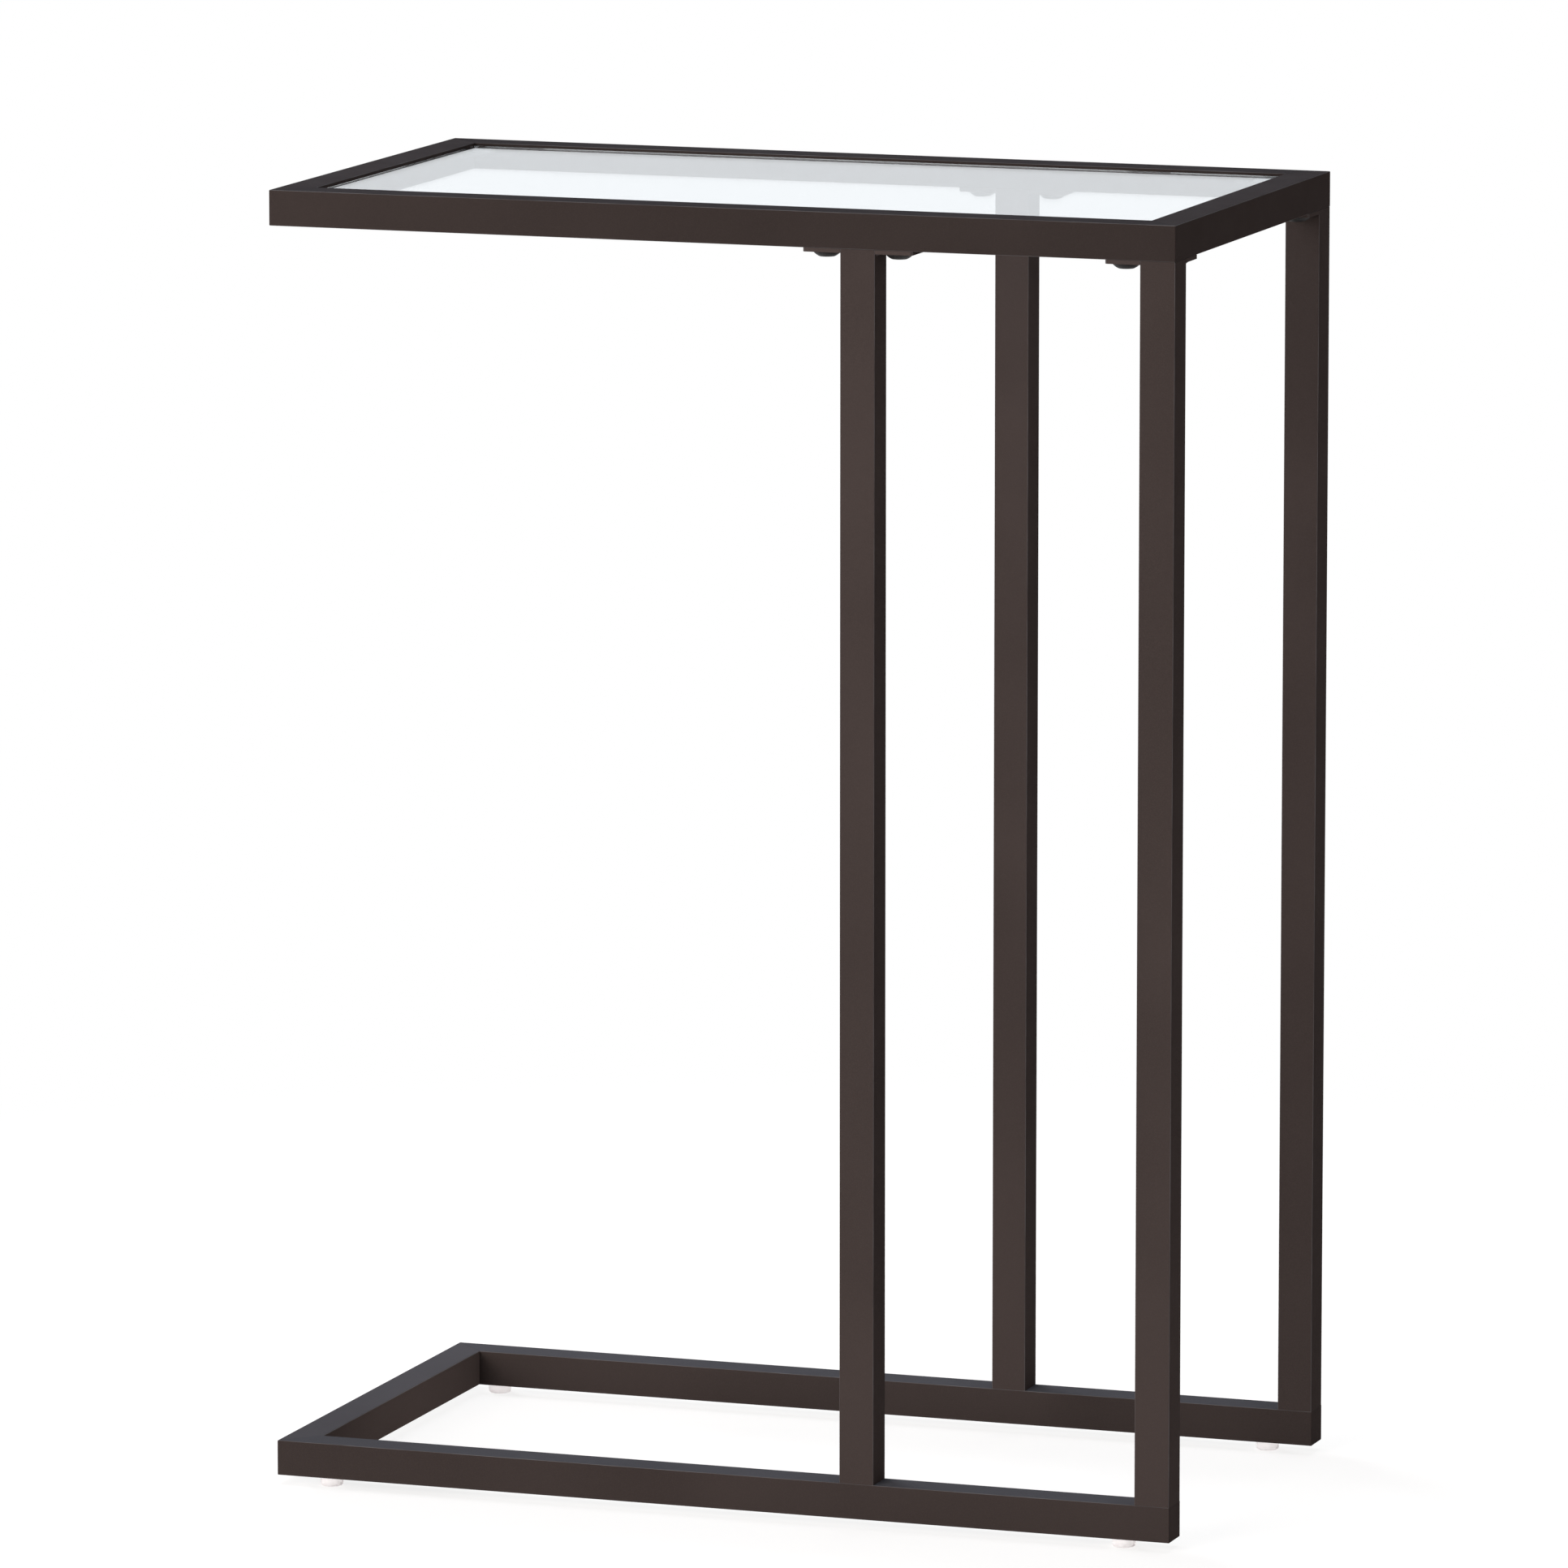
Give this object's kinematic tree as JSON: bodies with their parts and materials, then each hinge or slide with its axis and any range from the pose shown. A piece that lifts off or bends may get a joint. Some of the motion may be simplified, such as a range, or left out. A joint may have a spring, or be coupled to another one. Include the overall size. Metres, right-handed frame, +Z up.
{
  "type": "c shaped side table",
  "caption": "C-shaped side table: a glass pane in a square-tube steel frame, held over an open U base by upright legs at one end, so that it slides over a sofa or bed.",
  "frame": {"origin": "on the floor, under the middle of the table's outline", "axes": "+Z up from the floor, +X towards the legs' end of the table (the C opens towards -X), -Y the front"},
  "size_m": [0.474, 0.258, 0.66],
  "materials": {
    "powder_coat": "satin dark brown-black powder coat",
    "clear_glass": "polished clear glass",
    "clear_silicone": "clear, soft",
    "black_fasteners": "black zinc, satin",
    "zinc_plated_steel": "zinc plated",
    "foot_plastic": "milky white, slightly translucent"
  },
  "bodies": {
    "root": {"base_back_end_plate": "powder_coat", "base_back_rail": "powder_coat", "base_bolts": "black_fasteners", "base_front_end_plate": "powder_coat", "base_front_rail": "powder_coat", "base_left_rail": "powder_coat", "corner_plate_back_left": "powder_coat", "corner_plate_back_right": "powder_coat", "corner_plate_front_left": "powder_coat", "corner_plate_front_right": "powder_coat", "ears_back": "powder_coat", "ears_front": "powder_coat", "feet_back": "foot_plastic", "feet_front": "foot_plastic", "glass_pad_back_left": "clear_silicone", "glass_pad_back_right": "clear_silicone", "glass_pad_front_left": "clear_silicone", "glass_pad_front_right": "clear_silicone", "glass_top": "clear_glass", "leg_back_corner": "powder_coat", "leg_back_middle": "powder_coat", "leg_front_corner": "powder_coat", "leg_front_middle": "powder_coat", "leg_plugs": "zinc_plated_steel", "rivet_nuts": "zinc_plated_steel", "top_back_rail": "powder_coat", "top_front_rail": "powder_coat", "top_left_rail": "powder_coat", "top_right_rail": "powder_coat", "top_screws": "black_fasteners"}
  },
  "joints": []
}
